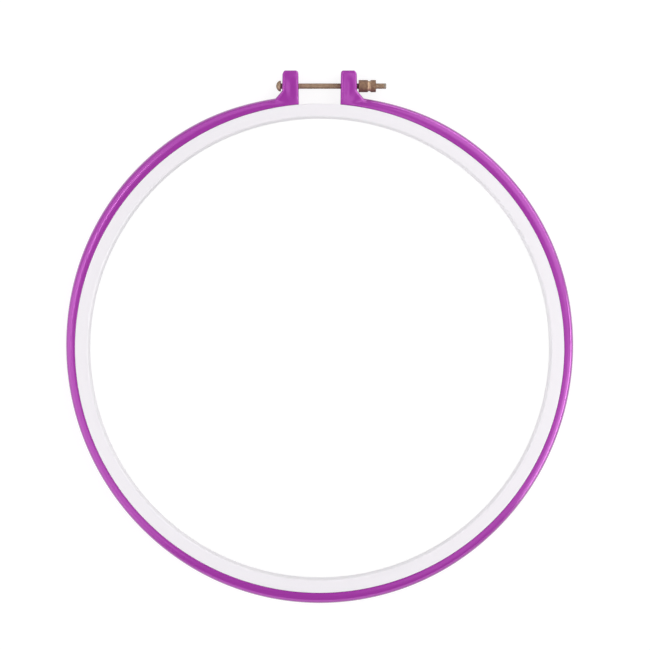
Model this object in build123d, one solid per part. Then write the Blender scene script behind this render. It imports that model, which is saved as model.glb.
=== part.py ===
from build123d import *
from math import cos, radians, sin, sqrt
import os

# Screw-clamped plastic embroidery hoop. Lengths are millimetres, angles are degrees.
# The hoop lies flat: +Z is its axis, z = 0 is the middle of its depth, and the origin is
# its centre. The clamping lugs stand at +Y, and the screw runs along X, head at -X.

# Both hoops
inner_hoop_diameter = 254.0      # outside of the inner hoop, the size that a hoop is sold by
hoop_depth = 10.0                # along Z, the same for both hoops and the lugs
seam_clearance = 0.3             # radial room between the hoops, taken up by the fabric

# Inner hoop
inner_hoop_width = 6.8           # radial thickness
window_edge_radius = 1.1         # rounding of the edges that frame the fabric
seam_edge_bevel = 0.4            # bevel of the edges beside the outer hoop

# Outer hoop wall: its radial width at each station round the ring
neck_width = 4.8                 # between the lugs
shoulder_width = 6.4             # widest, beside the lugs
flank_width = 4.65               # narrowest, so that the ring bends there
foot_width = 5.65                # opposite the lugs
shoulder_angle = 53.0            # above the X axis, on both sides
flank_angle = -22.0              # below the X axis, on both sides
corner_radius = 2.2              # where a flat face turns into the bulging outside
corner_turn = 62.0               # how far that corner turns before the bulge takes over
bore_edge_radius = 1.2           # rounding of the edges at the seam

# Lugs, one each side of the split
lug_gap = 21.6                   # between the lugs at their root
lug_thickness = 8.8              # along X at the root
lug_height = 17.1                # above the bore of the outer hoop
lug_draft = 0.9                  # degrees that each side face leans in towards the top
gap_corner_radius = 1.5          # top corner beside the gap
outer_corner_radius = 2.3        # top corner away from the gap
lug_edge_share = 0.9             # rounding of the front and back edges, of the gap corner
gusset_rise_share = 0.5          # gusset's top above the nut's underside, of nut_play
gusset_reach = 7.0               # along X, from the lug to the gusset's root in the ring
gusset_blend = 0.6               # hollow rounding between lug and gusset
root_share = 0.45                # depth of the gusset's root, of the ring's width there

# Clamp screw, M3 with a domed slotted head
screw_diameter = 3.0
screw_length = 55.0              # under the head
screw_drop = 7.65                # axis below the top of the lugs
head_diameter = 5.6
head_height = 2.5
head_rim_height = 0.7            # straight rim below the dome
slot_width = 0.8
slot_depth = 1.0
tip_chamfer = 0.4
head_play = 0.8                  # free space between the head and its lug

# Thumb nut, turned from round bar with a groove between its two gripping bands
nut_diameter = 6.4
wide_band_length = 4.8
nut_groove_length = 1.4
narrow_band_length = 2.8
nut_groove_depth = 0.55
nut_chamfer = 0.2
nut_play = 0.9                   # free space between the nut and its lug

# Roundings that run right round a hoop are made of straight steps, which keeps the mesh light
rounding_steps = 3

# Fits
lug_bore_clearance = 0.1         # radial, screw in the lugs
thread_clearance = 0.06          # radial, screw in the nut

# Tools
overrun = 2.0                    # how far cuts run past the material

inner_hoop_radius = inner_hoop_diameter / 2
bore_radius = inner_hoop_radius + seam_clearance
half_depth = hoop_depth / 2
screw_radius = screw_diameter / 2
gap_root_x = lug_gap / 2
lug_top_y = bore_radius + lug_height
screw_axis_y = lug_top_y - screw_drop
screw_height = lug_height - screw_drop
gusset_height = screw_height - nut_diameter / 2 + nut_play * gusset_rise_share
lug_lean = sin(radians(lug_draft))
lug_edge_radius = gap_corner_radius * lug_edge_share


def ring_point(width, angle):
    """A point of the outer hoop's outline, and the direction in which the outline passes it."""
    radius = bore_radius + width
    out = Vector(cos(radians(angle)), sin(radians(angle)))
    along = Vector(-out.Y, out.X)
    return out * radius, along


def arc_centre(point, along, other):
    """Centre of the arc that passes a point in the given direction, and passes another point."""
    inward = Vector(-along.Y, along.X)
    chord = other - point
    return point + inward * (chord.dot(chord) / inward.dot(chord) / 2)


def joined_arcs(start, start_along, end, end_along):
    """Two arcs that meet smoothly, leaving start and reaching end in the given directions."""
    chord = end - start
    both = start_along + end_along
    spread = 2 * (1 - start_along.dot(end_along))
    slant = chord.dot(both)
    reach = (sqrt(slant * slant + spread * chord.dot(chord)) - slant) / spread
    middle = (start + start_along * reach + end - end_along * reach) / 2
    first = (start, middle, arc_centre(start, start_along, middle))
    second = (middle, end, arc_centre(end, end_along, middle))
    return [first, second]


def ring_outline():
    """The arcs of the outer hoop's widest line, counter-clockwise from the top."""
    stations = [
        (neck_width, 90),
        (shoulder_width, 180 - shoulder_angle),
        (flank_width, 180 - flank_angle),
        (foot_width, 270),
        (flank_width, 360 + flank_angle),
        (shoulder_width, 360 + shoulder_angle),
        (neck_width, 450),
    ]
    arcs = []
    for (width, angle), (next_width, next_angle) in zip(stations, stations[1:]):
        start, start_along = ring_point(width, angle)
        end, end_along = ring_point(next_width, next_angle)
        arcs += joined_arcs(start, start_along, end, end_along)
    return arcs


def rounding(centre_x, centre_y, radius, start_angle, end_angle):
    """Points of a rounded corner, evenly spaced on its arc."""
    turn = (end_angle - start_angle) / rounding_steps
    angles = [radians(start_angle + turn * step) for step in range(rounding_steps + 1)]
    return [(centre_x + radius * cos(angle), centre_y + radius * sin(angle)) for angle in angles]


def flipped(points):
    """The same points on the other side of mid depth, in the opposite order."""
    return [(x, -y) for x, y in reversed(points)]


def wall_section():
    """Half-round section of the outer hoop: x = 0 is its widest line, y runs along the depth."""
    bulge_turn = radians(90 - corner_turn)
    corner_drop = corner_radius * (1 - sin(bulge_turn))
    bulge_radius = (half_depth - corner_drop) / sin(bulge_turn)
    bulge_sag = bulge_radius * (1 - cos(bulge_turn))
    bulge_end = half_depth - corner_drop
    land_end = -bulge_sag - corner_radius * cos(bulge_turn)
    deepest = -max(neck_width, shoulder_width, flank_width, foot_width) - overrun
    bulge = ThreePointArc((-bulge_sag, -bulge_end), (0, 0), (-bulge_sag, bulge_end))
    corner = rounding(land_end, half_depth - corner_radius, corner_radius, 90 - corner_turn, 90)
    rest = Polyline(*corner, (deepest, half_depth), (deepest, -half_depth), *flipped(corner))
    return make_face(Wire([*bulge.edges(), *rest.edges()]))


def ring_body():
    """The whole ring before its bore is cut: the section turned about each arc's centre."""
    section = wall_section()
    pieces = []
    for start, end, centre in ring_outline():
        outward = (start - centre).normalized()
        plane = Plane(origin=start, x_dir=outward, z_dir=outward.cross(Vector(0, 0, 1)))
        turn = outward.get_angle(end - centre)
        pieces.append(revolve(plane * section, Axis(centre, (0, 0, 1)), turn))
    return pieces[0].fuse(*pieces[1:])


def lug():
    """The right-hand lug with its gusset, still running down past the bore."""
    low_y = bore_radius - lug_height
    rise = lug_top_y - bore_radius
    outer_root_x = gap_root_x + lug_thickness
    outer_top_x = outer_root_x - rise * lug_lean
    gap_top_x = gap_root_x + rise * lug_lean
    gusset_x = outer_root_x - gusset_height * lug_lean
    gusset_y = bore_radius + gusset_height
    root_radius = bore_radius + neck_width * root_share
    root_x = outer_root_x + gusset_reach
    root_y = sqrt(root_radius * root_radius - root_x * root_x)
    side = FilletPolyline(
        (gap_root_x, low_y),
        (gap_root_x, bore_radius),
        (gap_top_x, lug_top_y),
        (outer_top_x, lug_top_y),
        (gusset_x, gusset_y),
        (root_x, root_y),
        (root_x, low_y),
        radius=[gap_corner_radius, gap_corner_radius, outer_corner_radius, gusset_blend, gusset_blend],
    )
    bottom = Line((root_x, low_y), (gap_root_x, low_y))
    outline = make_face(Wire([*side.edges(), *bottom.edges()]))
    block = extrude(outline, amount=half_depth, both=True)
    levels = block.edges().group_by(Axis.Z)
    soft_edges = [edge for edge in levels[0] + levels[-1] if edge.center().Y > low_y + lug_edge_radius]
    return fillet(soft_edges, lug_edge_radius)


def bore_cutter():
    """Cuts the seat for the inner hoop, and rounds its two edges on the way out."""
    edge_x = bore_radius + bore_edge_radius
    past = half_depth + overrun
    flare = rounding(edge_x, half_depth - bore_edge_radius, bore_edge_radius, 180, 90)
    upper = [*flare, (edge_x, past), (0, past)]
    section = make_face(Polyline(*upper, *flipped(upper), close=True))
    return revolve(Plane.XZ * section, Axis.Z, 360)


def screw_hole():
    """The straight hole through both lugs."""
    width = 2 * (gap_root_x + lug_thickness + overrun)
    radius = screw_radius + lug_bore_clearance
    return Pos(0, screw_axis_y, 0) * Rot(0, 90, 0) * Cylinder(radius, width)


def outer_hoop():
    """Split ring and both lugs, one moulding."""
    end_x = gap_root_x + lug_edge_radius
    split = Pos(0, bore_radius, 0) * Box(2 * end_x, 2 * lug_height, hoop_depth + overrun)
    right_lug = lug()
    left_lug = mirror(right_lug, about=Plane.YZ)
    ring = ring_body() - split
    return ring + right_lug + left_lug - bore_cutter() - screw_hole()


def inner_hoop():
    """Closed ring with softly rounded window edges."""
    edge_x = inner_hoop_radius - inner_hoop_width + window_edge_radius
    window_edge = rounding(edge_x, half_depth - window_edge_radius, window_edge_radius, 180, 90)
    seam_edge = [
        (inner_hoop_radius - seam_edge_bevel, half_depth),
        (inner_hoop_radius, half_depth - seam_edge_bevel),
    ]
    upper = [*window_edge, *seam_edge]
    section = make_face(Polyline(*upper, *flipped(upper), close=True))
    return revolve(Plane.XZ * section, Axis.Z, 360)


def clamp_screw():
    """Screw turned about X, with the head's slot across it along Y."""
    head_x = -(gap_root_x + lug_thickness - screw_height * lug_lean + head_play)
    head_radius = head_diameter / 2
    rim_x = head_x - head_rim_height
    top_x = head_x - head_height
    dome_height = head_height - head_rim_height
    dome_radius = (head_radius * head_radius + dome_height * dome_height) / (2 * dome_height)
    dome_turn = head_radius / dome_radius / 2
    dome_middle = (top_x + dome_radius * (1 - cos(dome_turn)), dome_radius * sin(dome_turn))
    tip_x = head_x + screw_length
    dome = ThreePointArc((top_x, 0), dome_middle, (rim_x, head_radius))
    side = Polyline(
        (rim_x, head_radius),
        (head_x, head_radius),
        (head_x, screw_radius),
        (tip_x - tip_chamfer, screw_radius),
        (tip_x, screw_radius - tip_chamfer),
        (tip_x, 0),
        (top_x, 0),
    )
    body = revolve(make_face(Wire([*dome.edges(), *side.edges()])), Axis.X, 360)
    slot = Pos(top_x, 0, 0) * Box(2 * slot_depth, head_diameter + overrun, slot_width)
    return Pos(0, screw_axis_y, 0) * (body - slot)


def thumb_nut():
    """Nut turned about X: two chamfered bands with a groove between them."""
    start_x = gap_root_x + lug_thickness - screw_height * lug_lean + nut_play
    groove_x = start_x + wide_band_length
    band_x = groove_x + nut_groove_length
    end_x = band_x + narrow_band_length
    hole = screw_radius + thread_clearance
    grip = nut_diameter / 2
    bevel = grip - nut_chamfer
    neck = grip - nut_groove_depth
    profile = Polyline(
        (start_x, hole),
        (start_x, bevel),
        (start_x + nut_chamfer, grip),
        (groove_x - nut_chamfer, grip),
        (groove_x, bevel),
        (groove_x, neck),
        (band_x, neck),
        (band_x, bevel),
        (band_x + nut_chamfer, grip),
        (end_x - nut_chamfer, grip),
        (end_x, bevel),
        (end_x, hole),
        close=True,
    )
    return Pos(0, screw_axis_y, 0) * revolve(make_face(profile), Axis.X, 360)


parts = {
    "outer_hoop": outer_hoop(),
    "inner_hoop": inner_hoop(),
    "clamp_screw": clamp_screw(),
    "thumb_nut": thumb_nut(),
}

os.makedirs("parts", exist_ok=True)
for name, shape in parts.items():
    export_step(shape, f"parts/{name}.step")
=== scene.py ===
"""Looks of a screw-clamped plastic embroidery hoop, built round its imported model.

The hoop lies flat on a pale floor. +Z is its axis and z = 0 the middle of its depth, the
clamping lugs stand at +Y, and the screw runs along X with its head at -X. Lengths are
millimetres and angles are degrees, until a mesh, a lamp or the camera is made in metres.
"""

import logging
import math
from dataclasses import dataclass, field
from enum import Enum

import bmesh
import bpy
import numpy as np
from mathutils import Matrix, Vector


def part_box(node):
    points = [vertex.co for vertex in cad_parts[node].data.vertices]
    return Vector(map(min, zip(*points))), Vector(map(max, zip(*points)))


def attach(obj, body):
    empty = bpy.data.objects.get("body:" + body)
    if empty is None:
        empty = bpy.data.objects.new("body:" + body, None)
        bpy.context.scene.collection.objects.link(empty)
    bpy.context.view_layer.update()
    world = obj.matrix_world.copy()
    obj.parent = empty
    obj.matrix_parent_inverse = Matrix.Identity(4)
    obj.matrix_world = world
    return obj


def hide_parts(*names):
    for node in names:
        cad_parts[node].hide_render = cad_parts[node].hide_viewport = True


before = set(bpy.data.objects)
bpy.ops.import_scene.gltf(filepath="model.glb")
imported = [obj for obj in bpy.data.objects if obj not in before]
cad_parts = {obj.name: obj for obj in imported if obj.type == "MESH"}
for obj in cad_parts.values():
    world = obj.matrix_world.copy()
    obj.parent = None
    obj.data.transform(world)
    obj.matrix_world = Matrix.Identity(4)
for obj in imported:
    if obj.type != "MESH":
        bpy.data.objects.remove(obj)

METRES_PER_MM = 0.001
FULL_TURN = 2 * math.pi
WAVE_RATE = 20.0                   # radians that a wave texture goes through in one unit
CREASE_ANGLE = 40.0                # edges that turn by more stay sharp
WELD_METRES = 1e-6                 # points nearer than this become one
SLIVER_METRES = 1e-7               # edges shorter than this are dissolved
LOG = logging.getLogger("embroidery_hoop")


class Body(Enum):
    """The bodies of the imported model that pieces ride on."""

    OUTER_HOOP = "outer_hoop"
    INNER_HOOP = "inner_hoop"
    CLAMP_SCREW = "clamp_screw"
    THUMB_NUT = "thumb_nut"


class Slot(Enum):
    """The record's material slots."""

    COLOUR = "hoop_colour"
    WHITE = "hoop_white"
    HARDWARE = "hardware"


class TurningAxis(Enum):
    """The line that a turned surface goes round, through the piece's own centre."""

    X = 0
    Z = 2


def box_mm(node: str) -> tuple[np.ndarray, np.ndarray]:
    """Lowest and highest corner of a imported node.

    Args:
        node: Name of the node.

    Returns:
        The two corners in millimetres.
    """
    low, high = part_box(node)
    return np.array(low) / METRES_PER_MM, np.array(high) / METRES_PER_MM


def linear_colour(hex_code: str) -> tuple[float, float, float, float]:
    """Turns an sRGB colour to the linear values that shaders take, by the standard's curve.

    Args:
        hex_code: Six hex digits after a hash sign.

    Returns:
        Linear red, green and blue, and an alpha of one.
    """
    srgb = np.array([int(hex_code[i : i + 2], 16) for i in (1, 3, 5)]) / 255
    linear = np.where(srgb <= 0.04045, srgb / 12.92, ((srgb + 0.055) / 1.055) ** 2.4)
    return (*(float(value) for value in linear), 1.0)


def add_node(
    tree: bpy.types.NodeTree, kind: str, inputs: dict | None = None, **settings: object
) -> bpy.types.Node:
    """Adds one node to a tree, sets it and links it.

    Args:
        tree: The node tree.
        kind: The node's type name.
        inputs: For each socket, by name or number, its value or the output that feeds it.
        settings: Attributes of the node.

    Returns:
        The new node.
    """
    node = tree.nodes.new(kind)
    for name, value in settings.items():
        setattr(node, name, value)
    for name, value in (inputs or {}).items():
        if isinstance(value, bpy.types.NodeSocket):
            tree.links.new(value, node.inputs[name])
        else:
            node.inputs[name].default_value = value
    return node


def noise_scale(blot_mm: float) -> float:
    """Scale of a noise whose blots are about that many millimetres across."""
    return 1 / (blot_mm * METRES_PER_MM)


def band_scale(spacing_mm: float) -> float:
    """Scale of a wave texture whose bands lie that many millimetres apart."""
    return FULL_TURN / (WAVE_RATE * spacing_mm * METRES_PER_MM)


def blank_material(name: str) -> bpy.types.Material:
    """Makes a material with an empty node tree.

    Args:
        name: Name of the material.

    Returns:
        The material.
    """
    made = bpy.data.materials.new(name)
    made.use_nodes = True
    made.node_tree.nodes.clear()
    return made


@dataclass(frozen=True)
class Pattern:
    """What varies over a finish, as outputs that feed its shader, and what doesn't."""

    colour: bpy.types.NodeSocket
    gloss: bpy.types.NodeSocket    # 0 where the surface is smoothest, 1 where it is roughest
    relief: bpy.types.NodeSocket   # height of the fine relief, from 0 to 1
    constants: dict[str, object]   # values for the shader's own sockets


@dataclass(frozen=True, kw_only=True)
class Finish:
    """A finish whose roughness varies a little, with a fine relief that shows in the gloss."""

    name: str
    roughness: float
    roughness_spread: float        # how far the roughness goes to either side
    relief_mm: float               # height of the relief

    def pattern(self, tree: bpy.types.NodeTree, place: bpy.types.NodeSocket) -> Pattern:
        """Lays out the pattern in the material's tree, on Object coordinates: one for each finish."""
        raise NotImplementedError

    def material(self) -> bpy.types.Material:
        """Builds the material.

        Returns:
            A node material on Object coordinates.
        """
        made = blank_material(self.name)
        tree = made.node_tree
        place = add_node(tree, "ShaderNodeTexCoord").outputs["Object"]
        pattern = self.pattern(tree, place)
        smooth, rough = self.roughness - self.roughness_spread, self.roughness + self.roughness_spread
        gloss = add_node(
            tree, "ShaderNodeMapRange", {"Value": pattern.gloss, "To Min": smooth, "To Max": rough}
        )
        height = self.relief_mm * METRES_PER_MM
        bump = add_node(tree, "ShaderNodeBump", {"Height": pattern.relief, "Distance": height})
        inputs = {
            "Base Color": pattern.colour,
            "Roughness": gloss.outputs["Result"],
            "Normal": bump.outputs["Normal"],
            **pattern.constants,
        }
        shader = add_node(tree, "ShaderNodeBsdfPrincipled", inputs)
        add_node(tree, "ShaderNodeOutputMaterial", {"Surface": shader.outputs["BSDF"]})
        return made


@dataclass(frozen=True, kw_only=True)
class MouldedPlastic(Finish):
    """Injection-moulded plastic, coloured through, with the soft gloss of a polished mould.

    The eye sees one even colour that drifts a little over centimetres, highlights whose
    edges are soft, and a faint ripple in them where the plastic shrank as it cooled.
    """

    colour: str                    # the plastic where it is lit plainly
    drift_colour: str              # the shade that it drifts to
    gloss_tint: str = "#ffffff"    # of the highlights, where the dye shows through the skin
    gloss_level: float = 0.5       # of the highlights, where 0.5 is what the IOR gives
    ior: float = 1.58              # of polystyrene
    drift_mm: float = 22.0         # size of the slow colour blots
    drift_detail: float = 3.0      # layers of finer blots in them
    ripple_mm: float = 3.0         # spacing of the shrinkage ripple
    ripple_detail: float = 2.0     # layers of finer ripples in it
    roughness_spread: float = 0.02
    relief_mm: float = 0.001

    def pattern(self, tree: bpy.types.NodeTree, place: bpy.types.NodeSocket) -> Pattern:
        """Lays out the drift of the colour and the ripple.

        Args:
            tree: The material's node tree.
            place: Object coordinates.

        Returns:
            The pattern.
        """
        drift = add_node(
            tree,
            "ShaderNodeTexNoise",
            {"Vector": place, "Scale": noise_scale(self.drift_mm), "Detail": self.drift_detail},
        )
        plain, drifted = linear_colour(self.colour), linear_colour(self.drift_colour)
        tint = add_node(
            tree,
            "ShaderNodeMix",
            {"Factor": drift.outputs["Fac"], "A": plain, "B": drifted},
            data_type="RGBA",
        )
        ripple = add_node(
            tree,
            "ShaderNodeTexNoise",
            {"Vector": place, "Scale": noise_scale(self.ripple_mm), "Detail": self.ripple_detail},
        ).outputs["Fac"]
        constants = {
            "IOR": self.ior,
            "Specular IOR Level": self.gloss_level,
            "Specular Tint": linear_colour(self.gloss_tint),
        }
        return Pattern(tint.outputs["Result"], ripple, ripple, constants)


@dataclass(frozen=True, kw_only=True)
class WearAndHighlightBand:
    """A paler stretch along the axis: worn bare on the screw, a painted highlight in the nut's groove."""

    colour: str                    # the paler metal: bare on the screw, a painted highlight in the nut's groove
    middle_mm: float               # place along X
    half_length_mm: float
    fade_mm: float = 0.25          # over which it fades back into the plating


@dataclass(frozen=True, kw_only=True)
class AntiqueBrass(Finish):
    """Turned metal with a brown antique brass plating that has dulled.

    The eye sees a dark warm metal, browner in blots where the plating is thicker, with
    marks round the axis left by turning, and one paler band: rubbed bare on the screw, and
    a painted highlight in the nut's groove.
    """

    colour: str                    # the plating where it is thin
    tarnish_colour: str            # where it is thick and dull
    wear_and_highlight: WearAndHighlightBand
    metallic: float = 0.4          # the oxide is matt, and the metal under it mirrors
    edge_colour: str = "#241c15"   # of what it mirrors at a glancing angle
    tarnish_mm: float = 1.4        # size of the tarnish blots
    tarnish_detail: float = 4.0    # layers of finer blots in them
    thin_level: float = 0.35       # of the blots' noise, below which the plating is thin
    thick_level: float = 0.65      # above which it is thick
    mark_mm: float = 1.131         # spacing of the turning marks, drawn coarser than real
    mark_distortion: float = 0.6   # how far the marks wander
    roughness_spread: float = 0.08
    relief_mm: float = 0.004

    def pattern(self, tree: bpy.types.NodeTree, place: bpy.types.NodeSocket) -> Pattern:
        """Lays out the tarnish, the paler band and the turning marks.

        Args:
            tree: The material's node tree.
            place: Object coordinates.

        Returns:
            The pattern.
        """
        tarnish = add_node(
            tree,
            "ShaderNodeTexNoise",
            {"Vector": place, "Scale": noise_scale(self.tarnish_mm), "Detail": self.tarnish_detail},
        )
        blots = add_node(
            tree,
            "ShaderNodeMapRange",
            {"Value": tarnish.outputs["Fac"], "From Min": self.thin_level, "From Max": self.thick_level},
        ).outputs["Result"]
        thin, thick = linear_colour(self.colour), linear_colour(self.tarnish_colour)
        tint = add_node(
            tree, "ShaderNodeMix", {"Factor": blots, "A": thin, "B": thick}, data_type="RGBA"
        ).outputs["Result"]
        # the paler band: worn bare on the screw, a painted highlight in the nut's groove
        pale_share, pale_metal = self.wear_and_highlight_share(tree, place), linear_colour(self.wear_and_highlight.colour)
        whole = add_node(
            tree, "ShaderNodeMix", {"Factor": pale_share, "A": tint, "B": pale_metal}, data_type="RGBA"
        )
        scale = band_scale(self.mark_mm)
        marks = add_node(
            tree,
            "ShaderNodeTexWave",
            {"Vector": place, "Scale": scale, "Distortion": self.mark_distortion},
            bands_direction="X",
        )
        constants = {"Metallic": self.metallic, "Specular Tint": linear_colour(self.edge_colour)}
        return Pattern(whole.outputs["Result"], blots, marks.outputs["Fac"], constants)

    def wear_and_highlight_share(
        self, tree: bpy.types.NodeTree, place: bpy.types.NodeSocket
    ) -> bpy.types.NodeSocket:
        """How much the paler band shows: 1 within it, falling smoothly to 0 past its ends.

        Args:
            tree: The material's node tree.
            place: Object coordinates.

        Returns:
            The output that gives the share.
        """
        along = add_node(tree, "ShaderNodeSeparateXYZ", {"Vector": place}).outputs["X"]
        middle = self.wear_and_highlight.middle_mm * METRES_PER_MM
        from_middle = add_node(tree, "ShaderNodeMath", {0: along, 1: middle}, operation="SUBTRACT")
        distance = add_node(
            tree, "ShaderNodeMath", {0: from_middle.outputs["Value"]}, operation="ABSOLUTE"
        )
        half, fade = self.wear_and_highlight.half_length_mm, self.wear_and_highlight.fade_mm / 2
        return add_node(
            tree,
            "ShaderNodeMapRange",
            {
                "Value": distance.outputs["Value"],
                "From Min": (half - fade) * METRES_PER_MM,
                "From Max": (half + fade) * METRES_PER_MM,
                "To Min": 1.0,
                "To Max": 0.0,
            },
            interpolation_type="SMOOTHSTEP",
        ).outputs["Result"]


@dataclass
class Surface:
    """A closed surface: a grid of points, in millimetres, whose columns join round each row.

    Rows that shrink to a point or a line are welded there when the piece is made.
    """

    points: np.ndarray             # rows, columns and x, y, z
    rows_close: bool = False       # whether the last row joins the first

    def quads(self) -> np.ndarray:
        """Joins each point to its neighbours along the row and in the next row.

        Returns:
            Four point numbers for each face, turned so that the faces look outwards.
        """
        rows, columns = self.points.shape[:2]
        numbers = np.arange(rows * columns).reshape(rows, columns)
        if self.rows_close:
            numbers = np.vstack([numbers, numbers[:1]])
        numbers = np.hstack([numbers, numbers[:, :1]])
        corners = (numbers[:-1, :-1], numbers[:-1, 1:], numbers[1:, 1:], numbers[1:, :-1])
        faces = np.stack([corner.ravel() for corner in corners], axis=1)
        return faces if self.volume(faces) > 0 else faces[:, ::-1]

    def volume(self, faces: np.ndarray) -> float:
        """Signed volume inside the faces, positive if they look outwards.

        Each face's two triangles and the origin span a small pyramid, and a pyramid's
        signed volume is a sixth of its edges' triple product.

        Args:
            faces: Four point numbers for each face.

        Returns:
            The volume in cubic millimetres.
        """
        first, second, third, fourth = np.moveaxis(self.points.reshape(-1, 3)[faces], 1, 0)
        upper = np.einsum("ij,ij->i", first, np.cross(second, third))
        lower = np.einsum("ij,ij->i", first, np.cross(third, fourth))
        return float((upper.sum() + lower.sum()) / 6)

    def piece(self, name: str) -> bpy.types.Object:
        """Makes the object in metres, with its poles and seams welded.

        Args:
            name: Name of the object and its mesh.

        Returns:
            The object.
        """
        made = bpy.data.meshes.new(name)
        made.from_pydata(self.points.reshape(-1, 3) * METRES_PER_MM, [], self.quads())
        editable = bmesh.new()
        editable.from_mesh(made)
        bmesh.ops.remove_doubles(editable, verts=editable.verts, dist=WELD_METRES)
        bmesh.ops.dissolve_degenerate(editable, edges=editable.edges, dist=SLIVER_METRES)
        editable.to_mesh(made)
        editable.free()
        return new_object(name, made)


def new_object(name: str, mesh: bpy.types.Mesh) -> bpy.types.Object:
    """Puts a mesh into the scene at the origin.

    Args:
        name: Name of the object.
        mesh: The mesh.

    Returns:
        The object.
    """
    made = bpy.data.objects.new(name, mesh)
    bpy.context.scene.collection.objects.link(made)
    return made


def cut_away(piece: bpy.types.Object, cutter: bpy.types.Object) -> None:
    """Cuts one closed object out of another for good, and removes the cutter.

    Args:
        piece: The object that stays.
        cutter: The object whose space is taken from it.
    """
    cut = piece.modifiers.new("cut", "BOOLEAN")
    cut.object = cutter
    cut.operation = "DIFFERENCE"
    cut.solver = "EXACT"
    graph = bpy.context.evaluated_depsgraph_get()
    result = bpy.data.meshes.new_from_object(piece.evaluated_get(graph))
    piece.modifiers.clear()
    old = piece.data
    piece.data = result
    result.name = old.name
    bpy.data.meshes.remove(old)
    bpy.data.meshes.remove(cutter.data)


def hand_over(
    piece: bpy.types.Object, body: Body, material: bpy.types.Material
) -> None:
    """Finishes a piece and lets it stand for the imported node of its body.

    Args:
        piece: The object, whose mesh is final.
        body: The body that it rides on, which has one node of the same name.
        material: Its material.
    """
    mesh = piece.data
    mesh.materials.clear()
    mesh.materials.append(material)
    mesh.shade_smooth()
    mesh.set_sharp_from_angle(angle=math.radians(CREASE_ANGLE))
    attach(piece, body.value)
    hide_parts(body.value)
    low, high = np.array(piece.bound_box).min(0), np.array(piece.bound_box).max(0)
    size = ", ".join(f"{side / METRES_PER_MM:.1f}" for side in high - low)
    LOG.info("%s: %d faces, %s mm, rides on %s", piece.name, len(mesh.polygons), size, body.value)


@dataclass(frozen=True)
class EdgeProfile:
    """Half of a wall's profile, from where the front face ends down to mid depth.

    A point lies inset in from the wall's widest line. Its height is that of the face's end
    less drop, times left. The arrays have one row for each section, or one for all.
    """

    inset: np.ndarray
    drop: np.ndarray
    left: np.ndarray

    @classmethod
    def flat_wall(cls, radius: float, start_turn: np.ndarray, steps: int) -> "EdgeProfile":
        """A flat wall below a rounded edge.

        On the edge the normal turns evenly from start_turn off +Z to straight out. There a
        point's inset is radius * (1 - sin(turn)), and its drop is
        radius * (cos(start_turn) - cos(turn)).

        Args:
            radius: Rounding of the edge.
            start_turn: Turn of the normal where the face ends, one for each section.
            steps: Faces on the edge, and again on the wall.

        Returns:
            The profile.
        """
        share = np.linspace(0, 1, steps + 1)[None, :]
        turn = start_turn + (math.pi / 2 - start_turn) * share
        inset = radius * (1 - np.sin(turn))
        drop = radius * (np.cos(start_turn) - np.cos(turn))
        left = np.ones_like(inset)
        wall_drop = np.repeat(drop[:, -1:], steps, axis=1)
        wall_left = np.broadcast_to(1 - share[:, 1:], wall_drop.shape)
        return cls(
            np.hstack([inset, np.zeros_like(wall_drop)]),
            np.hstack([drop, wall_drop]),
            np.hstack([left, wall_left]),
        )

    @classmethod
    def bulging_wall(
        cls, radius: float, start_turn: float, end_turn: float, half_depth: float, steps: int
    ) -> "EdgeProfile":
        """A wall that bulges as one flat arc below a rounded corner.

        The corner turns the normal from start_turn to end_turn, and the bulge from there to
        straight out, where it reaches mid depth.

        Args:
            radius: Rounding of the corner.
            start_turn: Turn of the normal where the face ends.
            end_turn: Turn of the normal where the bulge takes over.
            half_depth: Height of the face.
            steps: Faces on the corner, and again on the bulge.

        Returns:
            The profile.
        """
        corner = np.linspace(start_turn, end_turn, steps + 1)[None, :]
        bulge = np.linspace(end_turn, math.pi / 2, steps + 1)[None, 1:]
        corner_drop = radius * (math.cos(start_turn) - np.cos(corner))
        bulge_radius = (half_depth - radius * (1 - math.cos(end_turn))) / math.cos(end_turn)
        sag = bulge_radius * (1 - math.sin(end_turn))
        corner_inset = sag + radius * (math.sin(end_turn) - np.sin(corner))
        return cls(
            np.hstack([corner_inset, bulge_radius * (1 - np.sin(bulge))]),
            np.hstack([corner_drop, np.full_like(bulge, corner_drop[0, -1])]),
            np.hstack([np.ones_like(corner), np.cos(bulge) / math.cos(end_turn)]),
        )

    def blended(self, other: "EdgeProfile", share: np.ndarray) -> "EdgeProfile":
        """Goes over to another profile: share is 0 for this one and 1 for the other."""
        return EdgeProfile(
            self.inset + (other.inset - self.inset) * share,
            self.drop + (other.drop - self.drop) * share,
            self.left + (other.left - self.left) * share,
        )

    def scaled(self, scale: np.ndarray) -> "EdgeProfile":
        """The same profile with its rounding scaled, for each section."""
        return EdgeProfile(self.inset * scale, self.drop * scale, self.left)

    def whole(self, face_height: np.ndarray | float) -> tuple[np.ndarray, np.ndarray]:
        """Inset and height from the front face to the back face.

        Args:
            face_height: Height of the front face's end, for each section.

        Returns:
            Both arrays, one row for each section.
        """
        height = (face_height - self.drop) * self.left
        inset = np.hstack([self.inset, self.inset[:, -2::-1]])
        return inset, np.hstack([height, -height[:, -2::-1]])


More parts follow.
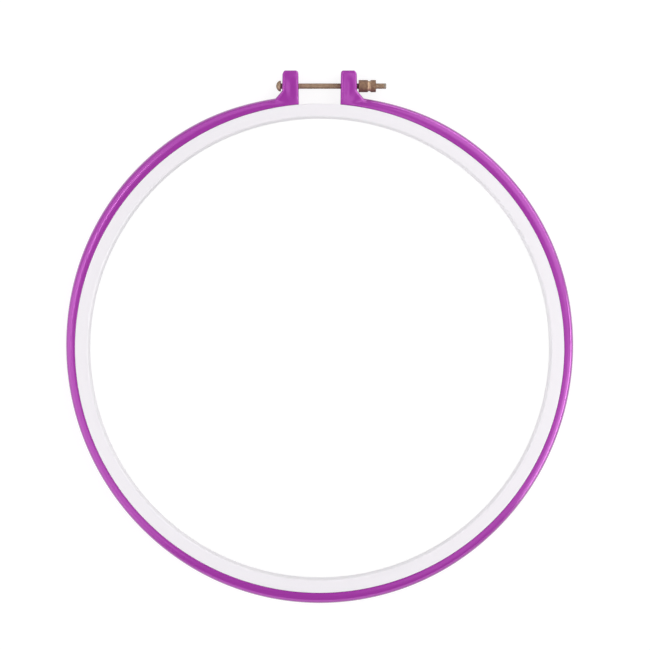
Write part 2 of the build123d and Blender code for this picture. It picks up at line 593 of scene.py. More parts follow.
def turned_surface(
    along: np.ndarray,
    radius: np.ndarray,
    centre: np.ndarray,
    axis: TurningAxis,
    steps: int,
    wave_height: np.ndarray | float = 0.0,
    waves: int = 0,
    wave_phase: np.ndarray | float = 0.0,
) -> np.ndarray:
    """Carries a profile round an axis.

    A point of the profile, at a turn about the axis, stands from it by
    radius + wave_height * cos(waves * turn - wave_phase). A phase that grows along the axis
    makes a helix, and many waves at one phase make a knurl.

    Args:
        along: Place of each profile point along the axis.
        radius: Distance of each from the axis.
        centre: A point of the axis.
        axis: Direction of the axis.
        steps: Faces in one turn.
        wave_height: Height of the waves at each profile point.
        waves: Waves in one turn.
        wave_phase: Phase of the waves at each profile point.

    Returns:
        Profile points, steps, and x, y, z.
    """
    turn = np.linspace(0, FULL_TURN, steps, endpoint=False)[None, :]
    heights = np.broadcast_to(wave_height, along.shape)[:, None]
    phases = np.broadcast_to(wave_phase, along.shape)[:, None]
    reach = radius[:, None] + heights * np.cos(waves * turn - phases)
    first, second = reach * np.cos(turn), reach * np.sin(turn)
    level = np.broadcast_to(along[:, None], reach.shape)
    order = (level, first, second) if axis is TurningAxis.X else (first, second, level)
    return np.stack(order, axis=2) + centre


def smooth_step(share: np.ndarray) -> np.ndarray:
    """Rises from 0 to 1 with the share, level at both ends: 3 * share**2 - 2 * share**3."""
    return share**2 * (3 - 2 * share)


def filleted_path(
    corners: list[np.ndarray], radii: list[float], runs: list[int], arc_steps: list[int]
) -> np.ndarray:
    """Points along a polyline whose inner corners are rounded.

    At a corner that turns by an angle, the arc starts and ends radius * tan(angle / 2)
    from it. Between them the point at share u of the arc is the circle's, reached by
    turning the first radius by u times the angle.

    Args:
        corners: The polyline's points, first and last included.
        radii: Rounding at each inner corner.
        runs: Steps along each straight run.
        arc_steps: Steps along each arc.

    Returns:
        The points, in order.
    """
    corners = np.array(corners, float)
    ways = np.diff(corners, axis=0)
    ways /= np.linalg.norm(ways, axis=1)[:, None]
    pieces, start = [], corners[0]
    for number, (radius, steps) in enumerate(zip(radii, arc_steps)):
        before, after = ways[number], ways[number + 1]
        cross = before[0] * after[1] - before[1] * after[0]
        angle = math.atan2(cross, before @ after)
        reach = radius * math.tan(abs(angle) / 2)
        end = corners[number + 1] - before * reach
        side = np.array([-before[1], before[0]]) * math.copysign(radius, angle)
        centre = end + side
        turn = np.linspace(0, angle, steps, endpoint=False)[:, None]
        arc = centre - side * np.cos(turn) + before * radius * np.sin(np.abs(turn))
        share = np.linspace(0, 1, runs[number], endpoint=False)[:, None]
        pieces += [start + (end - start) * share, arc]
        start = corners[number + 1] + after * reach
    share = np.linspace(0, 1, runs[-1] + 1)[:, None]
    pieces.append(start + (corners[-1] - start) * share)
    return np.vstack(pieces)


def crossing(first: np.ndarray, first_way: np.ndarray, circle_radius: float) -> np.ndarray:
    """Where a line from inside a circle round the origin leaves it.

    Args:
        first: A point of the line.
        first_way: Its direction, one long.
        circle_radius: Radius of the circle.

    Returns:
        The point.
    """
    middle = first @ first_way
    reach = -middle + math.sqrt(middle**2 - first @ first + circle_radius**2)
    return first + first_way * reach


def push_out(points: np.ndarray, least_radius: np.ndarray | float) -> np.ndarray:
    """Moves points that lie too near the hoop's centre straight out to a given radius."""
    radius = np.linalg.norm(points, axis=1)
    return points * (np.maximum(radius, least_radius) / radius)[:, None]


def direction(angle: float) -> np.ndarray:
    """A unit vector at an angle in degrees above the X axis."""
    return np.array([math.cos(math.radians(angle)), math.sin(math.radians(angle))])


def inset_path(path: np.ndarray, side: int, inset: np.ndarray) -> np.ndarray:
    """Moves a path's points square to it, by several distances each.

    Args:
        path: The points. At the first, the path runs along X.
        side: 1 to move to its left, -1 to its right.
        inset: A row of distances for each point.

    Returns:
        Points, distances and x, y.
    """
    way = np.gradient(path, axis=0)
    way[0] = (1, 0)
    way /= np.linalg.norm(way, axis=1)[:, None]
    inward = np.column_stack([-way[:, 1], way[:, 0]]) * side
    return path[:, None, :] + inward[:, None, :] * inset[:, :, None]


@dataclass
class OuterHoop:
    """The split outer hoop with its two lugs, one coloured moulding.

    Its right half is a grid. Rows cross the moulding: outer wall, back face, inner wall and
    front face. They go from the foot of the ring to the lug, where they fan out along the
    gusset and then climb to the lug's top. The left half is the mirror image.
    """

    screw: "ClampScrew"            # for which the lugs are bored
    fit_clearance: float = 0.3     # between the hoops as they fit, from which widths are measured
    seam_clearance: float = 0.1    # as tight as a hoop with no cloth in it looks
    neck_width: float = 4.8        # the ring's radial widths
    shoulder_width: float = 6.4
    flank_width: float = 4.65
    foot_width: float = 5.65
    neck_angle: float = 90.0       # where it has them, above the X axis
    shoulder_angle: float = 53.0
    flank_angle: float = -22.0
    foot_angle: float = -90.0
    corner_radius: float = 2.2     # where a face turns into the bulging outside
    corner_turn: float = 62.0      # how far it has turned where the bulge takes over
    ring_crown: float = 20.0       # how far the ring's face has turned where that corner starts
    lug_crown: float = 1.5         # the same at both edges of a lug's flatter face
    crown_power: float = 2.4       # the face falls as this power of the way across it
    sink_depth: float = 0.15       # of the dish that a lug's thick middle leaves as it cools
    sink_end_share: float = 0.3    # over which share of the lug's height the dish runs out
    seam_edge_radius: float = 0.35
    gap_root_x: float = 10.8
    lug_thickness: float = 8.8
    lug_draft: float = 0.9
    gap_corner_radius: float = 1.5
    outer_corner_radius: float = 2.3
    lug_top_edge_radius: float = 1.35
    lug_side_radius: float = 1.35  # rounding of a lug's upright edges
    side_ease_radii: float = 3.0   # height on the gap face, in such radii, where it reaches that
    gusset_height: float = 6.7
    gusset_reach: float = 7.0
    gusset_blend: float = 0.6
    root_share: float = 0.45       # of the neck's width, at which the gusset's line ends
    heel_radius: float = 0.5       # upright corner between bore and gap face
    heel_edge_share: float = 0.4   # the edges' rounding dips to this share at that corner
    heel_reach: float = 1.6        # over which it dips
    fan_angle: float = 78.0        # where the ring's even rows end, before the gusset
    hole_clearance: float = 0.1
    hole_steps: int = 48
    ring_rows: int = 470
    fan_rows: int = 30             # from the ring's even rows to the gusset
    bend_rows: int = 8             # at the gusset's foot, and again at its knee
    gusset_rows: int = 16
    side_rows: int = 36            # up the lug's outer side
    bore_rows: int = 36            # along the bore, from where the fan starts to the heel
    heel_rows: int = 10
    blend_first_row: int = 12      # past the ring's rows, where sections start to be a lug's
    blend_last_row: int = 64       # where they wholly are
    profile_steps: int = 6
    face_steps: int = 14
    lid_steps: int = 8             # on the top's rounding
    top_shares: tuple[float, ...] = (0.6, 0.2, 0.0)  # to which the flat top's rows shrink
    half_depth: float = field(init=False)
    lug_top_y: float = field(init=False)
    bore_radius: float = field(init=False)           # where the hoops fit
    seam_radius: float = field(init=False)           # of the wall that shows
    heel: np.ndarray = field(init=False)             # corner between bore and gap face

    def __post_init__(self) -> None:
        """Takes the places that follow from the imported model."""
        high = box_mm("outer_hoop")[1]
        self.half_depth = float(high[2])
        self.lug_top_y = float(high[1])
        inner_hoop_radius = float(box_mm("inner_hoop")[1][0])
        self.bore_radius = inner_hoop_radius + self.fit_clearance
        self.seam_radius = inner_hoop_radius + self.seam_clearance
        self.heel = np.array([self.gap_root_x, math.sqrt(self.seam_radius**2 - self.gap_root_x**2)])

    def build(self) -> bpy.types.Object:
        """Makes the moulding with its screw holes.

        Returns:
            The object.
        """
        sections = self.sections()
        right = np.concatenate([sections[:-1], self.lid(sections[-1])])
        left = right[:0:-1] * (-1, 1, 1)
        piece = Surface(np.concatenate([left, right])).piece("outer_hoop_moulding")
        past_lugs = self.gap_root_x + 2 * self.lug_thickness
        hole_radius = self.screw.radius + self.hole_clearance
        bore = turned_surface(
            np.array([-past_lugs, -past_lugs, past_lugs, past_lugs]),
            np.array([0, hole_radius, hole_radius, 0]),
            np.array([0, self.screw.axis_y, 0]),
            TurningAxis.X,
            self.hole_steps,
        )
        cut_away(piece, Surface(bore).piece("hole_cutter"))
        return piece

    def dress(self, piece: bpy.types.Object) -> None:
        """Finishes the moulding in purple, whose dye tints its highlights pink.

        Args:
            piece: The moulding.
        """
        purple = MouldedPlastic(
            name="purple_moulded_polystyrene",
            colour="#9b299d",
            drift_colour="#952597",
            roughness=0.20,
            gloss_tint="#ffacff",
            gloss_level=1.0,
        )
        hand_over(piece, Body.OUTER_HOOP, purple.material())

    def ring_width(self, angle: np.ndarray) -> np.ndarray:
        """Radial width of the ring, from where the hoops fit to its outline.

        Between two stations it eases out and in, as two arcs do.

        Args:
            angle: Degrees above the X axis, on the right-hand side.

        Returns:
            The widths.
        """
        angles = np.array([self.foot_angle, self.flank_angle, self.shoulder_angle, self.neck_angle])
        widths = np.array([self.foot_width, self.flank_width, self.shoulder_width, self.neck_width])
        station = np.clip(np.searchsorted(angles, angle, side="right") - 1, 0, len(angles) - 2)
        share = (angle - angles[station]) / (angles[station + 1] - angles[station])
        eased = np.where(share < 0.5, 2 * share**2, 1 - 2 * (1 - share) ** 2)
        return widths[station] + (widths[station + 1] - widths[station]) * eased

    def outline_radius(self, angle: np.ndarray) -> np.ndarray:
        """Distance of the ring's outline from the centre at an angle in degrees."""
        return self.bore_radius + self.ring_width(angle)

    def ring_arc(self, radius: float | None = None) -> np.ndarray:
        """Points of the ring's right half, from its foot up to the fan.

        Args:
            radius: Their distance from the centre, or None to lie on the outline.

        Returns:
            The points.
        """
        angle = np.linspace(self.foot_angle, self.fan_angle, self.ring_rows, endpoint=False)
        reach = self.outline_radius(angle) if radius is None else radius
        turn = np.radians(angle)
        return np.column_stack([reach * np.cos(turn), reach * np.sin(turn)])

    def lug_side(
        self, root_x: float, lean_way: int, corner_radius: float
    ) -> tuple[float, np.ndarray]:
        """One side of the lug: how it leans, and the point where the top's rounding starts.

        Args:
            root_x: Where the side meets the bore's level.
            lean_way: 1 if the draft takes it towards +X, and -1 if towards -X.
            corner_radius: Rounding of its top corner.

        Returns:
            The slope, x over y, and that point.
        """
        slope = lean_way * math.sin(math.radians(self.lug_draft))
        rise = self.lug_top_y - corner_radius - self.bore_radius
        return slope, np.array([root_x + rise * slope, self.bore_radius + rise])

    def outer_path(self) -> np.ndarray:
        """Right half of the outline: ring, gusset and the lug's outer side.

        Returns:
            The points, from the ring's foot up.
        """
        root_x = self.gap_root_x + self.lug_thickness
        slope, top = self.lug_side(root_x, -1, self.outer_corner_radius)
        knee = np.array([root_x + self.gusset_height * slope, self.bore_radius + self.gusset_height])
        toe_x = root_x + self.gusset_reach
        toe_radius = self.bore_radius + self.neck_width * self.root_share
        toe = np.array([toe_x, math.sqrt(toe_radius**2 - toe_x**2)])
        climb = (knee - toe) / np.linalg.norm(knee - toe)
        foot_angle = math.degrees(math.atan2(knee[1] + toe[1], knee[0] + toe[0]))
        foot = crossing(toe, climb, float(self.outline_radius(np.array(foot_angle))))
        start = float(self.outline_radius(np.array(self.fan_angle))) * direction(self.fan_angle)
        runs = [self.fan_rows, self.gusset_rows, self.side_rows]
        bends = [self.bend_rows, self.bend_rows]
        lug = filleted_path([start, foot, knee, top], [self.gusset_blend] * len(bends), runs, bends)
        angle = np.degrees(np.arctan2(lug[:, 1], lug[:, 0]))
        lug = push_out(lug, self.outline_radius(np.minimum(angle, self.neck_angle)))
        return np.vstack([self.ring_arc(), lug])

    def inner_path(self) -> np.ndarray:
        """Right half of the bore and the gap face, with as many points as the outline.

        Returns:
            The points, from the ring's foot up.
        """
        top = self.lug_side(self.gap_root_x, 1, self.gap_corner_radius)[1]
        start = self.seam_radius * direction(self.fan_angle)
        rows = self.fan_rows + self.gusset_rows + self.side_rows + 2 * self.bend_rows
        runs = [self.bore_rows, rows - self.bore_rows - self.heel_rows]
        lug = filleted_path([start, self.heel, top], [self.heel_radius], runs, [self.heel_rows])
        return np.vstack([self.ring_arc(self.seam_radius), push_out(lug, self.seam_radius)])

    def sections(self) -> np.ndarray:
        """The rows from the ring's foot to where the lug's top starts to round off.

        A face is highest on its spine, which is the seam's edge in the ring and the middle
        of the lug. From there it falls as a power of the distance, until it has turned by
        the crown where the wall's rounding starts. Its points lie closer near the walls.
        The back is the same upside down.

        Returns:
            Rows, columns and x, y, z.
        """
        outer, inner = self.outer_path(), self.inner_path()
        lug = self.lug_share(len(outer))
        outer_edge, inner_edge = self.edges(inner, lug)
        outer_start = inset_path(outer, 1, outer_edge.inset[:, :1])[:, 0]
        inner_start = inset_path(inner, -1, inner_edge.inset[:, :1])[:, 0]
        across = np.linalg.norm(outer_start - inner_start, axis=1)[:, None]
        ring_crown, lug_crown = math.radians(self.ring_crown), math.radians(self.lug_crown)
        crown = ring_crown + (lug_crown - ring_crown) * lug
        spine = 1 - lug / 2
        least = 1e-9               # keeps the ring, with nothing inward, from dividing by nought
        power = self.crown_power
        outer_fall = across * np.tan(crown) * spine / power
        inner_fall = across * np.tan(lug_crown * lug) * (1 - spine) / power
        outer_wall = self.wall(outer, 1, outer_edge, self.half_depth - outer_fall)
        inner_wall = self.wall(inner, -1, inner_edge, self.half_depth - inner_fall)
        share = (1 - np.cos(np.linspace(0, math.pi, self.face_steps + 1)[1:-1]))[None, :] / 2
        outward = np.maximum(spine - share, 0) / spine
        inward = np.maximum(share - spine, 0) / np.maximum(1 - spine, least)
        fall = outer_fall * outward**power + inner_fall * inward**power
        flat = outer_start[:, None] + (inner_start - outer_start)[:, None] * share[:, :, None]
        fall += self.sink(flat[:, :, 1], share) * lug
        height = (self.half_depth - fall)[:, :, None]
        back = np.concatenate([flat, -height], axis=2)
        front = np.concatenate([flat, height], axis=2)[:, ::-1]
        return np.concatenate([outer_wall, back, inner_wall[:, ::-1], front], axis=1)

    def edges(self, inner: np.ndarray, lug: np.ndarray) -> tuple[EdgeProfile, EdgeProfile]:
        """Profiles of the two walls, which go over from the ring's to the lug's.

        Args:
            inner: Points of the inner wall.
            lug: How much of a lug each row is.

        Returns:
            The outer wall's and the inner wall's.
        """
        lug_crown = math.radians(self.lug_crown)
        bulging = EdgeProfile.bulging_wall(
            self.corner_radius,
            math.radians(self.ring_crown),
            math.radians(self.corner_turn),
            self.half_depth,
            self.profile_steps,
        )
        flat = EdgeProfile.flat_wall(self.lug_side_radius, np.array([[lug_crown]]), self.profile_steps)
        unit_radius = 1.0
        unit_edge = EdgeProfile.flat_wall(unit_radius, lug_crown * lug, self.profile_steps)
        return bulging.blended(flat, lug), unit_edge.scaled(self.inner_radius(inner))

    def sink(self, level: np.ndarray, share: np.ndarray) -> np.ndarray:
        """Depth of the shallow dish in a lug's face, the sink mark of its thick middle.

        It goes as the squared sine of the way across the face, and runs out smoothly below
        the top's rounding and above the bore.

        Args:
            level: The points' place along Y.
            share: How far each lies across the face.

        Returns:
            The depth at each point.
        """
        top = self.lug_top_y - self.outer_corner_radius
        rise = np.clip((level - self.bore_radius) / (top - self.bore_radius), 0, 1)
        end = np.clip(np.minimum(rise, 1 - rise) / self.sink_end_share, 0, 1)
        return self.sink_depth * np.sin(math.pi * share) ** 2 * smooth_step(end)

    def lug_share(self, rows: int) -> np.ndarray:
        """How much of a lug each row is: none in the ring, and all above the gusset.

        Args:
            rows: Number of rows.

        Returns:
            The shares, as a column.
        """
        row = np.arange(rows) - self.ring_rows
        share = (row - self.blend_first_row) / (self.blend_last_row - self.blend_first_row)
        return smooth_step(np.clip(share, 0, 1))[:, None]

    def inner_radius(self, path: np.ndarray) -> np.ndarray:
        """Rounding of the inner wall's edges, which dips at the corner of bore and gap face.

        It eases from the seam's to the lug's over the first few millimetres of the gap
        face, and a bell curve of the distance from the corner makes the dip.

        Args:
            path: Points of the inner wall.

        Returns:
            The radius at each point, as a column.
        """
        ease = self.side_ease_radii * self.lug_side_radius
        climb = np.clip((path[:, 1] - self.heel[1]) / ease, 0, 1)
        radius = self.seam_edge_radius + (self.lug_side_radius - self.seam_edge_radius) * climb
        distance = np.linalg.norm(path - self.heel, axis=1)
        dip = (1 - self.heel_edge_share) * np.exp(-((distance / self.heel_reach) ** 2))
        return (radius * (1 - dip))[:, None]

    def wall(
        self, path: np.ndarray, side: int, edge: EdgeProfile, face_height: np.ndarray
    ) -> np.ndarray:
        """Carries a profile along a path, square to it, from the front face to the back.

        Args:
            path: Points of the wall's widest line.
            side: Which way the material lies: 1 left of the path, -1 right of it.
            edge: The profile.
            face_height: Height of the face's end, for each row.

        Returns:
            Rows, profile points and x, y, z.
        """
        inset, height = edge.whole(face_height)
        return np.concatenate([inset_path(path, side, inset), height[:, :, None]], axis=2)

    def lid(self, section: np.ndarray) -> np.ndarray:
        """Rounds the lug off at its top and closes it.

        Each point of the last section moves in, against its normal, by
        r * (1 - cos(turn)), and up to r * (1 - sin(turn)) below the top. r is the corner's
        radius on the two sides, the edge's on the faces, and between them a mean that is
        weighted by the squares of the normal's parts. The flat top shrinks to a point.

        Args:
            section: The last section's points.

        Returns:
            Rows, columns and x, y, z.
        """
        loop = section[:, [0, 2]]
        way = np.roll(loop, -1, axis=0) - np.roll(loop, 1, axis=0)
        normal = np.column_stack([-way[:, 1], way[:, 0]]) / np.linalg.norm(way, axis=1)[:, None]
        corner = np.where(normal[:, 0] > 0, self.outer_corner_radius, self.gap_corner_radius)
        radius = corner * normal[:, 0] ** 2 + self.lug_top_edge_radius * normal[:, 1] ** 2
        turn = np.linspace(0, math.pi / 2, self.lid_steps + 1)[:, None]
        flat = loop - normal * (radius * (1 - np.cos(turn)))[:, :, None]
        level = self.lug_top_y - radius * (1 - np.sin(turn))
        centre = flat[-1].mean(axis=0)
        shrink = np.array(self.top_shares)[:, None, None]
        flat = np.concatenate([flat, centre + (flat[-1] - centre) * shrink])
        level = np.concatenate([level, np.full((len(shrink), len(loop)), self.lug_top_y)])
        return np.stack([flat[:, :, 0], level, flat[:, :, 1]], axis=2)


@dataclass
class InnerHoop:
    """The closed inner hoop, a white moulding."""

    width: float = 6.8
    window_edge_radius: float = 1.1
    seam_edge_radius: float = 0.3
    steps: int = 720
    profile_steps: int = 8
    face_steps: int = 7

    def build(self) -> bpy.types.Object:
        """Makes the ring by turning its rounded section.

        Returns:
            The object.
        """
        high = box_mm("inner_hoop")[1]
        start_turn = np.zeros((1, 1))
        window = EdgeProfile.flat_wall(self.window_edge_radius, start_turn, self.profile_steps)
        seam = EdgeProfile.flat_wall(self.seam_edge_radius, start_turn, self.profile_steps)
        outside, height = float(high[0]), float(high[2])
        window_inset, window_height = (values[0] for values in window.whole(height))
        seam_inset, seam_height = (values[0, ::-1] for values in seam.whole(height))
        window_radius = outside - self.width + window_inset
        seam_radius = outside - seam_inset
        face = np.linspace(window_radius[0], seam_radius[-1], self.face_steps + 1)[1:-1]
        level = np.full(len(face), height)
        radius = np.concatenate([window_radius, face, seam_radius, face[::-1]])
        along = np.concatenate([window_height, -level, seam_height, level])
        points = turned_surface(along, radius, np.zeros(3), TurningAxis.Z, self.steps)
        return Surface(points, rows_close=True).piece("inner_hoop_moulding")

    def dress(self, piece: bpy.types.Object) -> None:
        """Finishes the ring in a white that is duller than the purple.

        Args:
            piece: The ring.
        """
        white = MouldedPlastic(
            name="white_moulded_polystyrene",
            colour="#f2eef3",
            drift_colour="#efecf1",
            roughness=0.40,
        )
        hand_over(piece, Body.INNER_HOOP, white.material())


@dataclass
class ClampScrew:
    """The long M3 machine screw with a domed, slotted head."""

    diameter: float = 3.0
    pitch: float = 0.5
    thread_depth: float = 0.2
    head_height: float = 2.5
    head_rim_height: float = 0.7
    head_edge: float = 0.2         # chamfer under the rim, which clears the gusset
    slot_width: float = 0.8
    slot_depth: float = 1.0
    tip_chamfer: float = 0.4
    bare_tip: float = 1.3          # length that is rubbed bare
    steps: int = 40
    rows_per_turn: int = 10
    dome_steps: int = 13
    head_x: float = field(init=False)    # top of the head
    tip_x: float = field(init=False)
    axis_y: float = field(init=False)
    head_radius: float = field(init=False)

    def __post_init__(self) -> None:
        """Takes the screw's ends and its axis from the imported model."""
        low, high = box_mm("clamp_screw")
        self.head_x = float(low[0])
        self.tip_x = float(high[0])
        self.axis_y = float(low[1] + high[1]) / 2
        self.head_radius = float(high[1] - low[1]) / 2

    @property
    def radius(self) -> float:
        """Outer radius of the thread."""
        return self.diameter / 2

    def build(self) -> bpy.types.Object:
        """Makes the screw: dome, rim, underside, threaded shaft and chamfered tip.

        The thread is one wave round the shaft, whose phase turns once in each pitch. It runs
        out over one pitch at both ends.

        Returns:
            The object.
        """
        dome_height = self.head_height - self.head_rim_height
        dome_radius = (self.head_radius**2 + dome_height**2) / (2 * dome_height)
        dome_turn = np.linspace(0, math.asin(self.head_radius / dome_radius), self.dome_steps + 1)
        dome_x = self.head_x + dome_radius * (1 - np.cos(dome_turn))
        shaft_x = self.head_x + self.head_height
        thread_end_x = self.tip_x - self.tip_chamfer
        rows = int((thread_end_x - shaft_x) / self.pitch * self.rows_per_turn)
        thread_x = np.linspace(shaft_x, thread_end_x, rows)
        half_depth = self.thread_depth / 2
        run_out = np.clip(np.minimum(thread_x - shaft_x, thread_end_x - thread_x) / self.pitch, 0, 1)
        thread_radius = self.radius - half_depth + (1 - run_out) * half_depth
        under_head_x = [shaft_x - self.head_edge, shaft_x, shaft_x]
        under_head = [self.head_radius, self.head_radius - self.head_edge, self.radius]
        tip = [self.radius - self.tip_chamfer, 0]
        along = np.concatenate([dome_x, under_head_x, thread_x, [self.tip_x, self.tip_x]])
        radius = np.concatenate([dome_radius * np.sin(dome_turn), under_head, thread_radius, tip])
        head = np.zeros(len(dome_x) + len(under_head))
        points = turned_surface(
            along,
            radius,
            np.array([0, self.axis_y, 0]),
            TurningAxis.X,
            self.steps,
            wave_height=np.concatenate([head, run_out * half_depth, np.zeros(len(tip))]),
            waves=1,
            wave_phase=FULL_TURN * along / self.pitch,
        )
        piece = Surface(points).piece("machine_screw")
        cut_away(piece, self.slot_cutter())
        return piece

    def slot_cutter(self) -> bpy.types.Object:
        """Makes the block that cuts the slot across the head along Y, and stands out past it.

        Returns:
            The block.
        """
        corner = np.array([[-1, -1], [1, -1], [1, 1], [-1, 1]])
        rows = []
        for end, size in ((-1, 0), (-1, 1), (1, 1), (1, 0)):
            across = corner * (self.slot_depth, self.slot_width / 2) * size
            level = np.full(len(corner), end * 2 * self.head_radius)
            rows.append(np.column_stack([across[:, 0], level, across[:, 1]]))
        points = np.stack(rows) + np.array([self.head_x, self.axis_y, 0])
        return Surface(points).piece("slot_cutter")

    def dress(self, piece: bpy.types.Object) -> None:
        """Finishes the screw in antique brass plating, rubbed bare at the tip.

        Args:
            piece: The screw.
        """
        wear_and_highlight = WearAndHighlightBand(colour="#968c80", middle_mm=self.tip_x, half_length_mm=self.bare_tip)
        plated = AntiqueBrass(
            name="antique_brass_plated_steel",
            colour="#a88f79",
            tarnish_colour="#947e6a",
            roughness=0.40,
            wear_and_highlight=wear_and_highlight,
        )
        hand_over(piece, Body.CLAMP_SCREW, plated.material())


@dataclass
class ThumbNut:
    """The turned nut with two gripping bands, knurled in diamonds, and a smooth groove."""

    wide_band: float = 4.8
    groove: float = 1.4
    groove_depth: float = 0.55
    groove_lip_share: float = 0.15  # of the half wave that hollows the groove, cut off at each lip
    groove_steps: int = 8
    chamfer: float = 0.2
    bore_radius: float = 1.56
    diamonds: int = 28             # round the nut
    knurl_depth: float = 0.14
    steps_each: int = 8            # faces across one diamond
    start_x: float = field(init=False)
    end_x: float = field(init=False)
    axis_y: float = field(init=False)
    grip: float = field(init=False)      # radius over the bands

    def __post_init__(self) -> None:
        """Takes the nut's ends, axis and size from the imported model."""
        low, high = box_mm("thumb_nut")
        self.start_x = float(low[0])
        self.end_x = float(high[0])
        self.axis_y = float(low[1] + high[1]) / 2
        self.grip = float(high[1] - low[1]) / 2

    def build(self) -> bpy.types.Object:
        """Makes the nut by turning its profile and knurling the bands.

        The groove's hollow goes as the square root of the sine of the way across it.

        Returns:
            The object.
        """
        groove_start = self.start_x + self.wide_band
        groove_end = groove_start + self.groove
        bands = [self.band(self.start_x, groove_start), self.band(groove_end, self.end_x)]
        neck = np.linspace(groove_start, groove_end, self.groove_steps + 1)
        lip = self.groove_lip_share
        hollow = self.groove_depth * np.sqrt(np.sin(np.linspace(lip, 1 - lip, len(neck)) * math.pi))
        hole = np.full(2, self.bore_radius)
        along = np.concatenate([bands[0][0], neck, bands[1][0], [self.end_x, self.start_x]])
        radius = np.concatenate([bands[0][1], self.grip - hollow, bands[1][1], hole])
        wave = np.concatenate([bands[0][2], np.zeros(len(neck)), bands[1][2], np.zeros(len(hole))])
        points = turned_surface(
            along,
            radius,
            np.array([0, self.axis_y, 0]),
            TurningAxis.X,
            self.diamonds * self.steps_each,
            wave_height=wave,
            waves=self.diamonds,
        )
        return Surface(points, rows_close=True).piece("thumb_nut_turned")

    def band(self, start: float, end: float) -> tuple[np.ndarray, np.ndarray, np.ndarray]:
        """One gripping band between its chamfers.

        The knurl's height goes as cos(diamonds * turn) * cos(the same pitch along X), which
        makes diamonds, and it fades out at the chamfers.

        Args:
            start: Where the band starts along X.
            end: Where it ends.

        Returns:
            Place along X, mean radius and wave height of each profile point.
        """
        pitch = FULL_TURN * self.grip / self.diamonds
        first, last = start + self.chamfer, end - self.chamfer
        rows = np.linspace(first, last, round((last - first) / pitch * self.steps_each))
        fade = np.clip(np.minimum(rows - first, last - rows) / (pitch / 2), 0, 1)
        wave = np.cos(FULL_TURN * (rows - first) / pitch) * fade * self.knurl_depth / 2
        mean = self.grip - fade * self.knurl_depth / 2
        bevel = self.grip - self.chamfer
        return (
            np.concatenate([[start], rows, [end]]),
            np.concatenate([[bevel], mean, [bevel]]),
            np.concatenate([[0], wave, [0]]),
        )

    def dress(self, piece: bpy.types.Object) -> None:
        """Finishes the nut in a darker antique brass, with a painted highlight in its polished groove.

        Args:
            piece: The nut.
        """
        half = self.groove / 2
        middle = self.start_x + self.wide_band + half
        turned = AntiqueBrass(
            name="antique_brass_turned",
            colour="#8c715b",
            tarnish_colour="#765b4f",
            roughness=0.40,
            # the paler band over the groove is a painted highlight on its polished metal
            wear_and_highlight=WearAndHighlightBand(colour="#bb9e84", middle_mm=middle, half_length_mm=half),
        )
        hand_over(piece, Body.THUMB_NUT, turned.material())


@dataclass(frozen=True)
class Softbox:
    """A rectangular studio lamp that looks at the hoop's centre."""

    name: str
    azimuth: float                 # from +X towards +Y
    elevation: float               # above the floor
    width: float                   # metres, level
    height: float                  # metres
    brightness: float              # of its face, where the white surroundings are 1
    distance: float = 1.0          # metres
    gloss_only: bool = False       # seen in highlights alone, and lights nothing matt

    def build(self) -> None:
        """Hangs the lamp. A face of area A and brightness b gives off pi * A * b watts."""
        across, up = math.radians(self.azimuth), math.radians(self.elevation)
        way = Vector((math.cos(across) * math.cos(up), math.sin(across) * math.cos(up), math.sin(up)))
        lamp = bpy.data.lights.new(self.name, "AREA")
        lamp.shape = "RECTANGLE"
        lamp.size = self.width
        lamp.size_y = self.height
        lamp.energy = math.pi * self.width * self.height * self.brightness
        made = bpy.data.objects.new(self.name, lamp)
        made.visible_diffuse = not self.gloss_only
        made.location = way * self.distance
        made.rotation_euler = way.to_track_quat("Z", "Y").to_euler()
        bpy.context.scene.collection.objects.link(made)


@dataclass(frozen=True)
class GlossCard(Softbox):
    """A bright card that only highlights show."""

    gloss_only: bool = True


LAMPS = (
    Softbox("left_softbox", azimuth=196, elevation=28, width=1.05, height=0.85, brightness=1.75),
    Softbox("high_left_softbox", azimuth=208, elevation=62, width=0.46, height=0.24, brightness=2.0),
    GlossCard("upper_left_strip", azimuth=158, elevation=54.5, width=0.50, height=0.036, brightness=13.0),
    GlossCard("upper_left_card", azimuth=128, elevation=43, width=1.10, height=0.54, brightness=1.1),
    GlossCard("right_card", azimuth=346, elevation=14, width=0.86, height=0.46, brightness=7.5),
    GlossCard("low_right_card", azimuth=50, elevation=12, width=1.15, height=0.36, brightness=4.2),
    GlossCard("near_card", azimuth=275, elevation=18, width=1.30, height=0.50, brightness=1.5),
    GlossCard("high_near_card", azimuth=330, elevation=66, width=0.70, height=0.40, brightness=0.8),
    Softbox("right_softbox", azimuth=340, elevation=42, width=0.45, height=0.44, brightness=2.8),
    Softbox("upper_right_softbox", azimuth=40, elevation=37, width=0.84, height=0.84, brightness=1.95),
    GlossCard("overhead_card", azimuth=76, elevation=72, width=0.11, height=0.12, brightness=3.2),
)


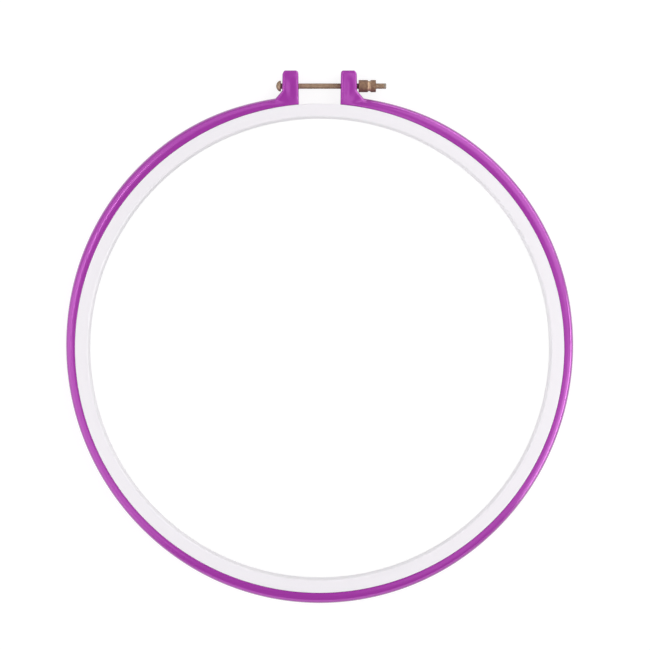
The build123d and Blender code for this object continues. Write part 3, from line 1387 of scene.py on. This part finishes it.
@dataclass
class Studio:
    """Floor, lamps, world and camera, none of them part of the hoop."""

    floor_colour: str = "#cacaca"
    floor_side: float = 8.0        # metres
    floor_glow: float = 0.86       # what the camera sees of the floor even in shadow
    floor_light: float = 0.20      # share of the light on it that the camera sees besides
    zenith: float = 0.50           # brightness overhead, where the horizon is 1
    zenith_sine: float = 0.7       # sine of the elevation above which it is so
    ambient: float = 0.43          # brightness with which the surroundings light the hoop
    camera_distance: float = 0.9   # metres from mid depth
    camera_x: float = 0.0028       # metres beside the hoop's centre, as the view is framed
    camera_y: float = 0.01207
    lens: float = 95.5             # millimetres, on a sensor 36 mm wide

    def build(self) -> None:
        """Sets up everything round the hoop."""
        self.floor()
        self.world()
        self.camera()
        for lamp in LAMPS:
            lamp.build()

    def seen_directly(self, tree: bpy.types.NodeTree) -> bpy.types.NodeSocket:
        """One for rays from the camera, from gloss and through glass, and nought for the rest.

        Args:
            tree: The node tree that asks.

        Returns:
            The output that gives it.
        """
        path = add_node(tree, "ShaderNodeLightPath").outputs
        seen = path["Is Camera Ray"]
        for other in ("Is Glossy Ray", "Is Transmission Ray"):
            seen = add_node(
                tree, "ShaderNodeMath", {0: seen, 1: path[other]}, operation="MAXIMUM"
            ).outputs["Value"]
        return seen

    def floor(self) -> None:
        """Lays the floor: pale, white to the camera, and darker where the hoop shades it."""
        half = self.floor_side / 2
        level = float(box_mm("outer_hoop")[0][2]) * METRES_PER_MM
        mesh = bpy.data.meshes.new("floor")
        corners = [(-half, -half, level), (half, -half, level), (half, half, level), (-half, half, level)]
        mesh.from_pydata(corners, [], [(0, 1, 2, 3)])
        made = blank_material("matt_white_paper")
        tree = made.node_tree
        glow = add_node(
            tree, "ShaderNodeEmission", {"Color": (1, 1, 1, 1), "Strength": self.floor_glow}
        )
        share = self.floor_light
        dim = add_node(tree, "ShaderNodeBsdfDiffuse", {"Color": (share, share, share, 1)})
        both = add_node(
            tree, "ShaderNodeAddShader", {0: glow.outputs["Emission"], 1: dim.outputs["BSDF"]}
        )
        paper = add_node(tree, "ShaderNodeBsdfDiffuse", {"Color": linear_colour(self.floor_colour)})
        mixed = add_node(
            tree,
            "ShaderNodeMixShader",
            {"Fac": self.seen_directly(tree), 1: paper.outputs["BSDF"], 2: both.outputs["Shader"]},
        )
        add_node(tree, "ShaderNodeOutputMaterial", {"Surface": mixed.outputs["Shader"]})
        mesh.materials.append(made)
        new_object("floor", mesh)

    def world(self) -> None:
        """Makes the surroundings: white round the horizon, and dimmer overhead.

        The brightness goes smoothly from 1 at the horizon to zenith where the sine of the
        elevation reaches zenith_sine. As a light it is even and weaker.
        """
        world = bpy.data.worlds.new("studio_world")
        bpy.context.scene.world = world
        world.use_nodes = True
        tree = world.node_tree
        tree.nodes.clear()
        way = add_node(tree, "ShaderNodeTexCoord").outputs["Generated"]
        rise = add_node(tree, "ShaderNodeSeparateXYZ", {"Vector": way}).outputs["Z"]
        looks = add_node(
            tree,
            "ShaderNodeMapRange",
            {"Value": rise, "From Max": self.zenith_sine, "To Min": 1.0, "To Max": self.zenith},
            interpolation_type="SMOOTHSTEP",
        ).outputs["Result"]
        strength = add_node(
            tree,
            "ShaderNodeMapRange",
            {"Value": self.seen_directly(tree), "To Min": self.ambient, "To Max": looks},
        ).outputs["Result"]
        sky = add_node(tree, "ShaderNodeBackground", {"Color": (1, 1, 1, 1), "Strength": strength})
        add_node(tree, "ShaderNodeOutputWorld", {"Surface": sky.outputs["Background"]})

    def camera(self) -> None:
        """Places the camera: it looks straight down at the hoop, lugs upwards."""
        data = bpy.data.cameras.new("camera")
        data.lens = self.lens
        made = bpy.data.objects.new("camera", data)
        made.location = (self.camera_x, self.camera_y, self.camera_distance)
        bpy.context.scene.collection.objects.link(made)
        bpy.context.scene.camera = made


def main() -> None:
    """Builds the studio and the four pieces in order."""
    logging.basicConfig(level=logging.INFO, format="%(name)s: %(message)s")
    bpy.context.scene.view_settings.view_transform = "Standard"
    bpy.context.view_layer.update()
    Studio().build()
    screw = ClampScrew()
    for part in (OuterHoop(screw), InnerHoop(), screw, ThumbNut()):
        part.dress(part.build())


if __name__ == "__main__":
    main()
